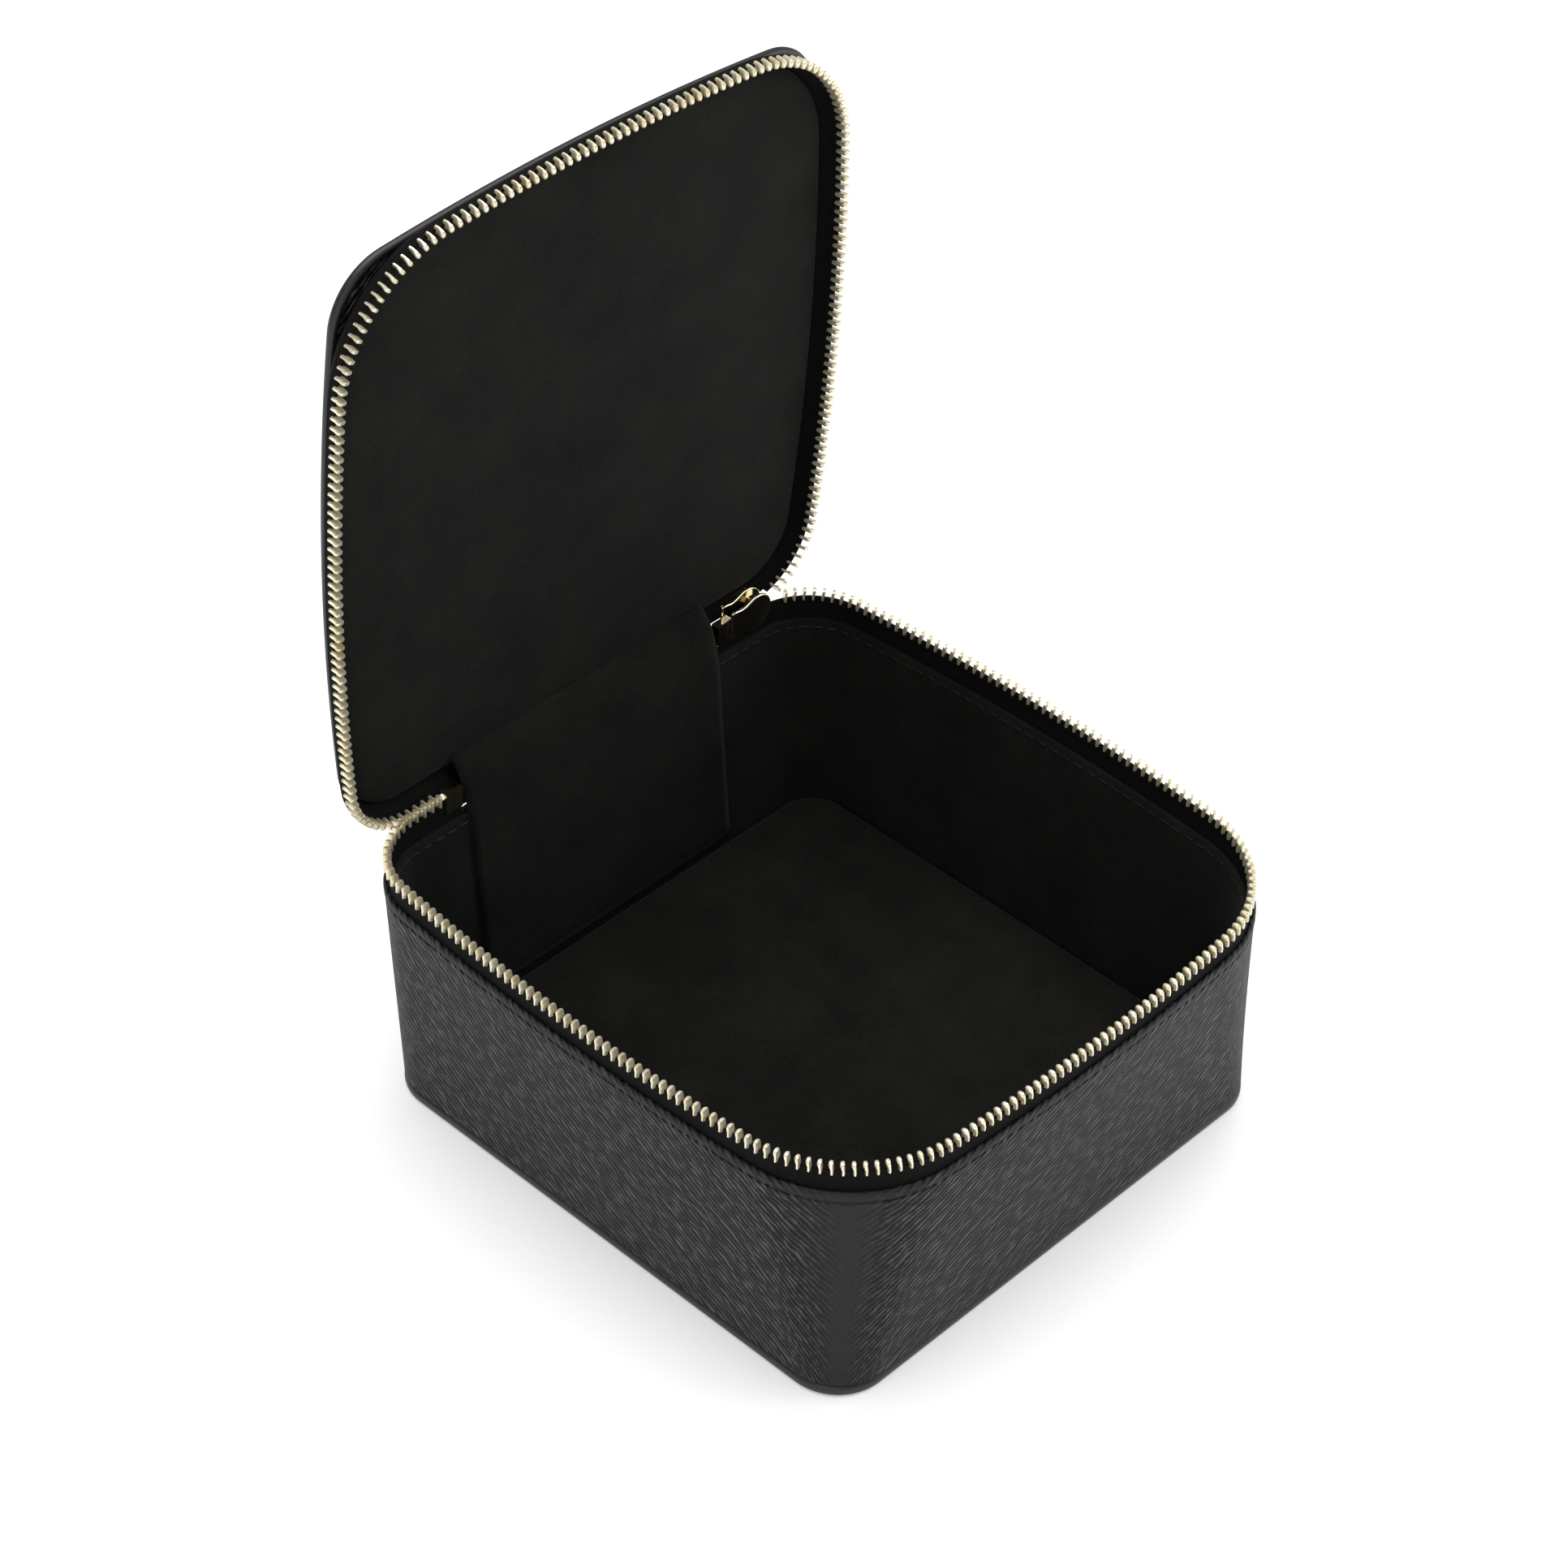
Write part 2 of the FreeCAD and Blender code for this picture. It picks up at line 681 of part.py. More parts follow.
def wall_back(level, outset):
    """Point of the back wall at the hinge's left end, at a height, set out from the seam line."""
    share = (level - foot_level) / (hinge_z - foot_level)
    half = foot_half_depth + (hinge_y - foot_half_depth) * share
    return Vector(-hinge_half, half + outset, level)


end_clear = size("hinge_end_clear")
leather_half = size("hinge_leather_thick") / 2
leather_from = wall_back(size("wall_top"), (leather_in + leather_out) / 2)
leather_from += Vector(0, 0, leather_half + 2 * end_clear)
leather_to = opened(size("lid_flare") - leather_half, size("lid_rise") + size("lid_thick") / 2)
add_shape("hinge_leather", bent_strip(leather_from, leather_to, size("hinge_leather_sag"),
                                      size("hinge_leather_thick")))

fold_half = size("hinge_fold_thick") / 2
fold_from = wall_back(lining_top, (lining_in + flap_in) / 2) + Vector(0, 0, fold_half + end_clear)
fold_to = opened(-panel_inset - fold_half - end_clear,
                 (panel_low + panel_high) / 2 - hinge_z)
add_shape("hinge_fold", bent_strip(fold_from, fold_to, -size("hinge_fold_rise"), size("hinge_fold_thick")))

doc.recompute()

faults = [o.Name for o in doc.Objects if "Invalid" in o.State or "Error" in o.State]
faults += [p.Label for p in sub_parts if p.Shape.isNull() or not p.Shape.isValid()]
if faults:
    raise RuntimeError("not built: " + ", ".join(faults))

os.makedirs("parts", exist_ok=True)
for piece in sub_parts:
    piece.Shape.exportStep(os.path.join("parts", piece.Label + ".step"))
    print(piece.Label, len(piece.Shape.Solids), round(piece.Shape.Volume, 1))
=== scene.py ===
import math
import bpy
from mathutils import Matrix, Vector


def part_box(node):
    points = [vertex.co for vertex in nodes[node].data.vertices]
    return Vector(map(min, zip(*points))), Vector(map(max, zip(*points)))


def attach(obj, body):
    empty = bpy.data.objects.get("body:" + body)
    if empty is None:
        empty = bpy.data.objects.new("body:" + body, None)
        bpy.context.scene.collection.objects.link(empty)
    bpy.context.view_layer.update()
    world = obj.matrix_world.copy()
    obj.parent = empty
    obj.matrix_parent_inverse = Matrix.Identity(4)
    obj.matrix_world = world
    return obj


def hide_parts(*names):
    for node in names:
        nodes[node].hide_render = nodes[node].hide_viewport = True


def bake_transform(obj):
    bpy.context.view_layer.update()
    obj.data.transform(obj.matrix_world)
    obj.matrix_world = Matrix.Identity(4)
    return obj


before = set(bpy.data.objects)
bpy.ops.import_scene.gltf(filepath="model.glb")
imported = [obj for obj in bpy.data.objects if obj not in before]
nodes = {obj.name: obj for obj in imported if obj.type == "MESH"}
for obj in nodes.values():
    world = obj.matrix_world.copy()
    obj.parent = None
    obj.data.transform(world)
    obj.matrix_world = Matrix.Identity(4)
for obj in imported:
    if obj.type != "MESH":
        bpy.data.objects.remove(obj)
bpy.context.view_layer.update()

mm = 0.001

# the case's outline, the same sizes as the solids
caseShape = {
    "rimWidth": 150.4 * mm, "rimDepth": 153.2 * mm, "rimFront": 32.5 * mm, "rimRear": 18.0 * mm, "rimBow": 590.0 * mm,
    "footWidth": 139.2 * mm, "footDepth": 140.8 * mm, "footCorner": 11.4 * mm, "footBow": 20.0,
    "footLevel": 3.05 * mm, "hingeHeight": 65.4 * mm, "wallTop": 58.9 * mm, "openAngle": 88.0,
}
uvScale = 100  # UV units are 10 mm
sweepStep = 2.0 * mm
softAngle = math.radians(40)
roundAngle = math.radians(60)
hingeY = caseShape["rimDepth"] / 2
hingeZ = caseShape["hingeHeight"]
openTurn = (Matrix.Translation((0, hingeY, hingeZ))
            @ Matrix.Rotation(math.radians(-caseShape["openAngle"]), 4, "X")
            @ Matrix.Translation((0, -hingeY, -hingeZ)))
bpy.ops.object.select_all(action="DESELECT")


def outlineSegments(level, outset, upright=False, corners=None):
    # eight runs of the outline: straight back, then corner and bowed side in turn, counter-clockwise
    shape = caseShape
    share = 1.0 if upright else (level - shape["footLevel"]) / (hingeZ - shape["footLevel"])

    def mix(foot, rim):
        return foot + (rim - foot) * share
    bow = 1 / mix(1 / shape["footBow"], 1 / shape["rimBow"]) + outset
    halfW = mix(shape["footWidth"], shape["rimWidth"]) / 2 + outset
    halfD = mix(shape["footDepth"], shape["rimDepth"]) / 2 + outset
    front = mix(shape["footCorner"], shape["rimFront"]) + outset
    rear = mix(shape["footCorner"], shape["rimRear"]) + outset
    if corners:
        front, rear = corners
    sideC = Vector((halfW - bow, 0))
    frontC = Vector((0, bow - halfD))
    rearC = Vector((sideC.x + math.sqrt((bow - rear) ** 2 - (halfD - rear) ** 2), halfD - rear))
    link = frontC - sideC
    across = Vector((link.y, -link.x)).normalized()
    across = across if across.x > 0 else -across
    cornerC = sideC + link / 2 + across * math.sqrt((bow - front) ** 2 - (link.length / 2) ** 2)
    toRear = math.atan2(*(rearC - sideC).yx)
    toSide = math.atan2(*(cornerC - sideC).yx)
    toFront = math.atan2(*(cornerC - frontC).yx)
    flip = lambda c: Vector((-c.x, c.y))
    half = math.pi
    return [
        ("line", Vector((rearC.x, halfD)), Vector((-rearC.x, halfD))),
        ("arc", flip(rearC), rear, half / 2, half - toRear),
        ("arc", flip(sideC), bow, half - toRear, half - toSide),
        ("arc", flip(cornerC), front, half - toSide, half - toFront),
        ("arc", frontC, bow, -half - toFront, toFront),
        ("arc", cornerC, front, toFront, toSide),
        ("arc", sideC, bow, toSide, toRear),
        ("arc", rearC, rear, toRear, half / 2),
    ]


def runLength(run):
    if run[0] == "line":
        return (run[2] - run[1]).length
    return abs(run[4] - run[3]) * run[2]


def runPoint(run, share):
    # point and outward direction at a share of one run
    if run[0] == "line":
        return run[1].lerp(run[2], share), Vector((0, 1))
    angle = run[3] + (run[4] - run[3]) * share
    out = Vector((math.cos(angle), math.sin(angle)))
    return run[1] + out * run[2], out


rimRuns = outlineSegments(hingeZ, 0)
rimLengths = [runLength(run) for run in rimRuns]
rimTotal = sum(rimLengths)
nearCorner = rimLengths[0] / 2 + rimLengths[1] + rimLengths[2] + rimLengths[3] / 2  # from the middle of the back


def locate(distance):
    # run number and share at a distance round the rim from the middle of the back
    rest = (distance + rimLengths[0] / 2) % rimTotal
    for number, length in enumerate(rimLengths):
        if rest <= length:
            return number, rest / length
        rest -= length
    return len(rimLengths) - 1, 1.0


def rimStations(start, end, step):
    # even distances along the rim, about one step apart
    count = max(2, round((end - start) / step))
    return [start + (end - start) * k / count for k in range(count + 1)]


print("outline ready, rim", round(rimTotal / mm, 1), "mm")


# helpers for meshes

def meshPiece(name, points, faces, uvs=None, smooth=True, wrap=None):
    mesh = bpy.data.meshes.new(name)
    mesh.from_pydata([tuple(p) for p in points], [], faces)
    if uvs:
        layer = mesh.uv_layers.new(name="UVMap")
        for loop in mesh.loops:
            layer.data[loop.index].uv = uvs[loop.vertex_index]
    if wrap:
        for face in mesh.polygons:  # the faces that close a ring carry on past its end
            spots = [layer.data[i].uv for i in face.loop_indices]
            last = max(spot.x for spot in spots)
            for spot in spots:
                if last - spot.x > wrap / 2:
                    spot.x += wrap
    piece = bpy.data.objects.new(name, mesh)
    bpy.context.scene.collection.objects.link(piece)
    bpy.ops.object.select_all(action="DESELECT")
    bpy.context.view_layer.objects.active = piece
    piece.select_set(True)
    bpy.ops.object.mode_set(mode="EDIT")
    bpy.ops.mesh.select_all(action="SELECT")
    bpy.ops.mesh.normals_make_consistent(inside=False)
    bpy.ops.object.mode_set(mode="OBJECT")
    if smooth:
        bpy.ops.object.shade_smooth_by_angle(angle=softAngle)
    piece.select_set(False)
    return piece


def sweepBand(name, profile, stations, closedRing=True, upright=False, corners=None):
    # a closed section of (level, outset) points carried round the rim
    points, uvs, faces = [], [], []
    rows = len(stations) - 1 if closedRing else len(stations)
    around = len(profile)
    walked = [0.0]
    for k in range(1, around):
        step = math.dist(profile[k], profile[k - 1])
        walked.append(walked[-1] + step)
    runs = [outlineSegments(level, outset, upright, corners) for level, outset in profile]
    for station in stations[:rows]:
        number, share = locate(station)
        for k, (level, _) in enumerate(profile):
            spot = runPoint(runs[k][number], share)[0]
            points.append((spot.x, spot.y, level))
            uvs.append(((station - nearCorner) * uvScale, walked[k] * uvScale))
    for row in range(rows if closedRing else rows - 1):
        following = (row + 1) % rows
        for k in range(around):
            over = (k + 1) % around
            faces.append((row * around + k, following * around + k,
                          following * around + over, row * around + over))
    if not closedRing:
        faces.append(tuple(range(around)))
        faces.append(tuple((rows - 1) * around + k for k in reversed(range(around))))
    return meshPiece(name, points, faces, uvs, wrap=rimTotal * uvScale if closedRing else None)


def ringPoints(level, outset, upright=False, corners=None, step=2.5 * mm):
    runs = outlineSegments(level, outset, upright, corners)
    spots = []
    for station in rimStations(0, rimTotal, step)[:-1]:
        number, share = locate(station)
        spots.append(runPoint(runs[number], share)[0])
    return spots


def panelPiece(name, outline, shares, topHeight, bottom):
    # a flat panel of rings drawn in towards the middle, with its own crown
    count = len(outline)
    points = [(p.x, p.y, bottom) for p in outline]
    faces = [tuple(range(count))]
    for share in shares:
        for p in outline:
            points.append((p.x * share, p.y * share, topHeight(p.x * share, p.y * share, share)))
    for ring in range(len(shares)):
        for k in range(count):
            over = (k + 1) % count
            faces.append((ring * count + k, ring * count + over,
                          (ring + 1) * count + over, (ring + 1) * count + k))
    points.append((0, 0, topHeight(0, 0, 0)))
    last = len(shares) * count
    for k in range(count):
        faces.append((last + k, last + (k + 1) % count, len(points) - 1))
    uvs = [(p[0] * uvScale, p[1] * uvScale) for p in points]
    return meshPiece(name, points, faces, uvs)


def dress(piece, material, body, slot, *replaced, blendTo=None):
    piece.data.materials.clear()
    piece.data.materials.append(material)
    if blendTo:
        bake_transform(piece)
    else:
        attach(piece, body)
    if replaced:
        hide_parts(*replaced)
    return piece


def joinCopies(name, shapes):
    # many small shapes, each a list of points and faces, as one mesh
    points, faces = [], []
    for spots, sides in shapes:
        start = len(points)
        points += spots
        faces += [tuple(start + i for i in side) for side in sides]
    return meshPiece(name, points, faces)


# materials

def newMaterial(name, colour, roughness, metallic=0.0):
    material = bpy.data.materials.new(name)
    material.use_nodes = True
    tree = material.node_tree
    shader = tree.nodes["Principled BSDF"]
    shader.inputs["Base Color"].default_value = (*colour, 1)
    shader.inputs["Roughness"].default_value = roughness
    shader.inputs["Metallic"].default_value = metallic
    return material, tree, shader


def addNode(tree, kind, **settings):
    node = tree.nodes.new(kind)
    for key, value in settings.items():
        if key in node.inputs:
            node.inputs[key].default_value = value
        else:
            setattr(node, key, value)
    return node


def calc(tree, operation, first, second=None):
    node = addNode(tree, "ShaderNodeMath", operation=operation)
    for socket, value in zip(node.inputs, (first, second)):
        if value is None:
            continue
        if isinstance(value, (int, float)):
            socket.default_value = value
        else:
            tree.links.new(value, socket)
    return node.outputs[0]


def ramp(tree, source, stops):
    node = tree.nodes.new("ShaderNodeValToRGB")
    while len(node.color_ramp.elements) < len(stops):
        node.color_ramp.elements.new(0.5)
    for element, (place, colour) in zip(node.color_ramp.elements, stops):
        element.position = place
        element.color = (*colour, 1) if isinstance(colour, tuple) else (colour, colour, colour, 1)
    tree.links.new(source, node.inputs["Fac"])
    return node.outputs["Color"]


def bumpInto(tree, shader, height, strength, distance):
    bump = addNode(tree, "ShaderNodeBump", Strength=strength, Distance=distance)
    tree.links.new(height, bump.inputs["Height"])
    tree.links.new(bump.outputs["Normal"], shader.inputs["Normal"])


# the dark and light tones paint shade between the ribs and highlight on their tops
grainLook = {
    "dark": (0.0015, 0.0015, 0.0017), "light": (0.088, 0.088, 0.09), "darkAt": 0.33, "lightAt": 0.74,
    "roughness": 0.5, "specular": 0.15, "rib": 1.48, "run": 4.8, "leftSlant": 39.0, "rightSlant": 33.0,
    "wobble": 1.5, "breakFrom": 0.26, "breakGain": 2.1, "weakest": 0.38, "plain": 0.36,
    "cornerReach": 0.6, "cornerPower": 1.5, "stitchLine": 5.42, "stripFade": 0.65, "pores": 0.12, "bump": 0.0004,
}


def slantMix(tree, side, wave):
    # sine or cosine of the ribs' slant, which differs left and right of the near corner
    left = wave(math.radians(grainLook["leftSlant"]))
    right = wave(math.radians(grainLook["rightSlant"]))
    return calc(tree, "ADD", calc(tree, "MULTIPLY", side, right - left), left)


def grainLeatherWithPaintedSheen(name, onUv=True):
    # fine broken ribs on the slant, mirrored about the near corner of the wall; the ribs' light tops are painted
    # highlight and the dark between them is painted shade, over the grain's own relief
    material, tree, shader = newMaterial(name, grainLook["dark"], grainLook["roughness"])
    shader.inputs["Specular IOR Level"].default_value = grainLook["specular"]
    coords = tree.nodes.new("ShaderNodeTexCoord")
    split = tree.nodes.new("ShaderNodeSeparateXYZ")
    tree.links.new(coords.outputs["UV" if onUv else "Object"], split.inputs[0])
    if onUv:
        across = calc(tree, "ABSOLUTE", split.outputs["X"])
        along = split.outputs["Y"]
        unit = 10.0  # mm in a UV unit
    else:
        across, along, unit = split.outputs["X"], split.outputs["Z"], 1000.0
    side = calc(tree, "GREATER_THAN", split.outputs["X"], 0.0)
    slantSin, slantCos = slantMix(tree, side, math.sin), slantMix(tree, side, math.cos)
    rib = calc(tree, "SUBTRACT", calc(tree, "MULTIPLY", along, slantCos),
               calc(tree, "MULTIPLY", across, slantSin))
    run = calc(tree, "ADD", calc(tree, "MULTIPLY", along, slantSin), calc(tree, "MULTIPLY", across, slantCos))
    rib = calc(tree, "MULTIPLY", rib, unit / grainLook["rib"])
    run = calc(tree, "MULTIPLY", run, unit / grainLook["run"])
    plane = tree.nodes.new("ShaderNodeCombineXYZ")
    tree.links.new(calc(tree, "MULTIPLY", rib, 0.55), plane.inputs[0])
    tree.links.new(run, plane.inputs[1])
    wobble = addNode(tree, "ShaderNodeTexNoise", Scale=0.8, Detail=2.0)
    breaks = addNode(tree, "ShaderNodeTexNoise", Scale=1.5, Detail=2.0, Roughness=0.6)
    for texture in (wobble, breaks):
        tree.links.new(plane.outputs[0], texture.inputs["Vector"])
    phase = calc(tree, "ADD", rib, calc(tree, "MULTIPLY", wobble.outputs["Fac"], grainLook["wobble"]))
    ridge = calc(tree, "ABSOLUTE", calc(tree, "SINE", calc(tree, "MULTIPLY", phase, math.pi)))
    strength = calc(tree, "SUBTRACT", breaks.outputs["Fac"], grainLook["breakFrom"])
    strength = calc(tree, "MULTIPLY", strength, grainLook["breakGain"])
    strength = calc(tree, "MINIMUM", calc(tree, "MAXIMUM", strength, grainLook["weakest"]), 1.0)
    ridge = calc(tree, "MULTIPLY", ridge, strength)
    if onUv:
        fade = calc(tree, "MINIMUM", calc(tree, "MULTIPLY", across, grainLook["cornerReach"]), 1.0)
        fade = calc(tree, "POWER", fade, grainLook["cornerPower"])  # smooth at the near corner, which also takes the painted highlight off and leaves the corner darker
        strip = calc(tree, "GREATER_THAN", along, grainLook["stitchLine"])  # and weaker above the stitches, with less painted highlight there too
        weaker = calc(tree, "SUBTRACT", 1.0, calc(tree, "MULTIPLY", strip, grainLook["stripFade"]))
        fade = calc(tree, "MULTIPLY", fade, weaker)
        ridge = calc(tree, "MULTIPLY", calc(tree, "SUBTRACT", ridge, grainLook["plain"]), fade)
        ridge = calc(tree, "ADD", ridge, grainLook["plain"])
    pores = addNode(tree, "ShaderNodeTexNoise", Scale=2200.0, Detail=2.0)
    tree.links.new(coords.outputs["Object"], pores.inputs["Vector"])
    height = calc(tree, "ADD", ridge, calc(tree, "MULTIPLY", pores.outputs["Fac"], grainLook["pores"]))
    # painted highlight and shade: the ramp colours the rib tops light and the grooves dark
    tones = [(grainLook["darkAt"], grainLook["dark"]), (grainLook["lightAt"], grainLook["light"])]
    tree.links.new(ramp(tree, height, tones), shader.inputs["Base Color"])
    bumpInto(tree, shader, height, 1.0, grainLook["bump"])
    return material


smoothLook = {"colour": (0.004, 0.004, 0.0045), "light": (0.009, 0.009, 0.01), "roughness": 0.4}


def smoothLeather(name):
    material, tree, shader = newMaterial(name, smoothLook["colour"], smoothLook["roughness"])
    coords = tree.nodes.new("ShaderNodeTexCoord")
    pores = addNode(tree, "ShaderNodeTexVoronoi", Scale=1500.0)
    creases = addNode(tree, "ShaderNodeTexNoise", Scale=350.0, Detail=4.0)
    for texture in (pores, creases):
        tree.links.new(coords.outputs["Object"], texture.inputs["Vector"])
    height = calc(tree, "ADD", calc(tree, "MULTIPLY", pores.outputs["Distance"], 0.4), creases.outputs["Fac"])
    tones = [(0.3, smoothLook["colour"]), (0.75, smoothLook["light"])]
    tree.links.new(ramp(tree, creases.outputs["Fac"], tones), shader.inputs["Base Color"])
    bumpInto(tree, shader, height, 0.25, 0.0001)
    return material


suedeLook = {"dark": (0.0027, 0.0027, 0.0023), "light": (0.0118, 0.0118, 0.0105), "roughness": 0.95,
             "sheen": 0.07, "sheenRoughness": 0.45, "specular": 0.15, "nap": 0.5, "brushed": 0.5}


def suede(name):
    material, tree, shader = newMaterial(name, suedeLook["dark"], suedeLook["roughness"])
    shader.inputs["Sheen Weight"].default_value = suedeLook["sheen"]
    shader.inputs["Sheen Roughness"].default_value = suedeLook["sheenRoughness"]
    shader.inputs["Sheen Tint"].default_value = (0.5, 0.5, 0.5, 1)
    shader.inputs["Specular IOR Level"].default_value = suedeLook["specular"]
    coords = tree.nodes.new("ShaderNodeTexCoord")
    nap = addNode(tree, "ShaderNodeTexNoise", Scale=1900.0, Detail=3.0, Roughness=0.65)
    brushed = addNode(tree, "ShaderNodeTexNoise", Scale=55.0, Detail=6.0, Roughness=0.6)
    for texture in (nap, brushed):
        tree.links.new(coords.outputs["Object"], texture.inputs["Vector"])
    tone = calc(tree, "ADD", calc(tree, "MULTIPLY", nap.outputs["Fac"], suedeLook["nap"]),
                calc(tree, "MULTIPLY", brushed.outputs["Fac"], suedeLook["brushed"]))
    tones = [(0.36, suedeLook["dark"]), (0.66, suedeLook["light"])]
    tree.links.new(ramp(tree, tone, tones), shader.inputs["Base Color"])
    bumpInto(tree, shader, nap.outputs["Fac"], 0.5, 0.0002)
    return material


tapeLook = {"dark": (0.0012, 0.0012, 0.0012), "light": (0.0075, 0.0075, 0.007), "roughness": 0.85, "specular": 0.12,
            "twill": 0.45, "column": 1.5}


def wovenTape(name):
    # herringbone: slanted yarns that turn back at each column
    material, tree, shader = newMaterial(name, tapeLook["dark"], tapeLook["roughness"])
    shader.inputs["Specular IOR Level"].default_value = tapeLook["specular"]
    coords = tree.nodes.new("ShaderNodeTexCoord")
    split = tree.nodes.new("ShaderNodeSeparateXYZ")
    tree.links.new(coords.outputs["UV"], split.inputs[0])
    column = calc(tree, "PINGPONG", calc(tree, "MULTIPLY", split.outputs["Y"], 10.0), tapeLook["column"])
    slant = calc(tree, "ADD", calc(tree, "MULTIPLY", split.outputs["X"], 10.0), column)
    wave = calc(tree, "SINE", calc(tree, "MULTIPLY", slant, 2 * math.pi / tapeLook["twill"]))
    height = calc(tree, "ADD", calc(tree, "MULTIPLY", wave, 0.5), 0.5)
    tones = [(0.2, tapeLook["dark"]), (0.95, tapeLook["light"])]
    tree.links.new(ramp(tree, height, tones), shader.inputs["Base Color"])
    bumpInto(tree, shader, height, 0.7, 0.0002)
    return material


goldLook = {"pale": (0.9, 0.84, 0.65), "deep": (0.8, 0.69, 0.45), "toothRoughness": 0.24, "toothMetal": 0.62,
            "sliderRoughness": 0.08}


def paleGold(name, roughness, metal=1.0):
    material, tree, shader = newMaterial(name, goldLook["pale"], roughness, metal)
    coords = tree.nodes.new("ShaderNodeTexCoord")
    tint = addNode(tree, "ShaderNodeTexNoise", Scale=260.0, Detail=3.0)
    tree.links.new(coords.outputs["Object"], tint.inputs["Vector"])
    tones = [(0.35, goldLook["deep"]), (0.6, goldLook["pale"])]
    tree.links.new(ramp(tree, tint.outputs["Fac"], tones), shader.inputs["Base Color"])
    fine = addNode(tree, "ShaderNodeTexNoise", Scale=900.0, Detail=2.0)
    tree.links.new(coords.outputs["Object"], fine.inputs["Vector"])
    bumpInto(tree, shader, fine.outputs["Fac"], 0.12, 0.00008)
    return material


threadLook = {"colour": (0.002, 0.002, 0.002), "roughness": 0.6}


def waxedThread(name):
    material, tree, shader = newMaterial(name, threadLook["colour"], threadLook["roughness"])
    coords = tree.nodes.new("ShaderNodeTexCoord")
    strands = addNode(tree, "ShaderNodeTexNoise", Scale=2600.0, Detail=1.0)
    tree.links.new(coords.outputs["Object"], strands.inputs["Vector"])
    bumpInto(tree, shader, strands.outputs["Fac"], 0.4, 0.0001)
    return material


wallGrainSheen = grainLeatherWithPaintedSheen("crossGrainPaintedSheen")
lidGrainSheen = grainLeatherWithPaintedSheen("crossGrainPaintedSheenLid", onUv=False)
plainLeather = smoothLeather("smoothLeather")
liningSuede = suede("blackSuede")
zipTape = wovenTape("zipTape")
toothGold = paleGold("zipGold", goldLook["toothRoughness"], goldLook["toothMetal"])
sliderGold = paleGold("sliderGold", goldLook["sliderRoughness"])
thread = waxedThread("blackThread")
print("materials ready")


# base: wall, lining, bottom

wallLook = {"out": 1.3 * mm, "inside": 0.42 * mm, "stitchDrop": 2.5 * mm, "groove": 0.3 * mm, "lip": 0.14 * mm}
ringStations = rimStations(0, rimTotal, sweepStep)


def wallSection():
    out, inside = wallLook["out"], wallLook["inside"]
    low, top = caseShape["footLevel"], caseShape["wallTop"]
    stitch = top - wallLook["stitchDrop"]
    rise = [low + 1.2 * mm + (stitch - low - 2.4 * mm) * k / 14 for k in range(15)]
    section = [(low + 0.1 * mm, inside), (low, out - 0.35 * mm), (low + 0.35 * mm, out)]
    section += [(level, out) for level in rise]
    section += [(stitch - 0.5 * mm, out), (stitch - 0.15 * mm, out - wallLook["groove"]),
                (stitch + 0.15 * mm, out - wallLook["groove"]), (stitch + 0.5 * mm, out + wallLook["lip"]),
                (top - 0.7 * mm, out + wallLook["lip"]), (top - 0.2 * mm, out - 0.05 * mm), (top, out - 0.4 * mm),
                (top - 0.1 * mm, inside)]
    return section


wall = sweepBand("wall_leather_shell", wallSection(), ringStations)
dress(wall, wallGrainSheen, "base", "grain_leather", "wall_leather")

liningLook = {"out": -0.4 * mm, "inside": -1.2 * mm, "top": 58.4 * mm}


def liningSection():
    low, top = caseShape["footLevel"], liningLook["top"]
    out, inside = liningLook["out"], liningLook["inside"]
    levels = [low + (top - 0.6 * mm - low) * k / 10 for k in range(11)]
    section = [(low, out)] + [(level, inside) for level in levels]
    return section + [(top - 0.1 * mm, inside + 0.2 * mm), (top, out)]


lining = sweepBand("wall_lining_suede", liningSection(), ringStations)
dress(lining, liningSuede, "base", "suede", "wall_lining")

floorLook = {"inset": 2.5 * mm, "low": 4.65 * mm, "top": 8.0 * mm, "round": 1.3 * mm, "roundWidth": 2.2 * mm,
             "ripple": 0.16 * mm, "rippleFrom": 8 * mm, "fill": 0.95}


def floorHeight(x, y, share):
    edge = (1 - share) * caseShape["footWidth"] / 2
    curl = floorLook["round"] * max(0.0, 1 - edge / floorLook["roundWidth"]) ** 2
    ripple = floorLook["ripple"] * math.sin(x * 71 + 1.1) * math.cos(y * 63 - 0.6)
    return floorLook["top"] - curl + ripple * min(1.0, edge / floorLook["rippleFrom"])


panelShares = [1.0, 0.992, 0.984, 0.972, 0.95, 0.9, 0.8, 0.65, 0.5, 0.35, 0.2, 0.08]
floorOutline = ringPoints(caseShape["footLevel"], -floorLook["inset"])
floorPad = panelPiece("floor_pad_suede", floorOutline, panelShares, floorHeight, floorLook["low"])
dress(floorPad, liningSuede, "base", "suede", "floor_pad")


